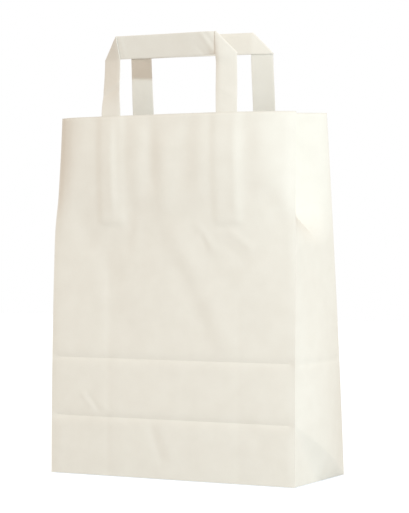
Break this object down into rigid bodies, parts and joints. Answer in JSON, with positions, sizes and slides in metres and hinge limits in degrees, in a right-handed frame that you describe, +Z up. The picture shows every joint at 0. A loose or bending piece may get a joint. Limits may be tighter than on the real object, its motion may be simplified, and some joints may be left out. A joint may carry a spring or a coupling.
{
  "type": "paper carrier bag",
  "caption": "Block-bottom paper carrier bag with side gussets and two flat folded paper handles glued inside the front and back panels.",
  "frame": {"origin": "middle of the base rectangle, on the surface that the bag stands on", "axes": "+Z up to the mouth, +X along the width, -Y towards the front panel"},
  "size_m": [0.265, 0.1156, 0.4072],
  "materials": {
    "white_paper": "machine-finished bleached kraft paper, uncoated, soft creases",
    "handle_paper": "three plies of the same uncoated bleached kraft paper, folded flat"
  },
  "bodies": {
    "root": {"bag_body": "white_paper", "front_handle": "handle_paper", "back_handle": "handle_paper"}
  },
  "joints": []
}
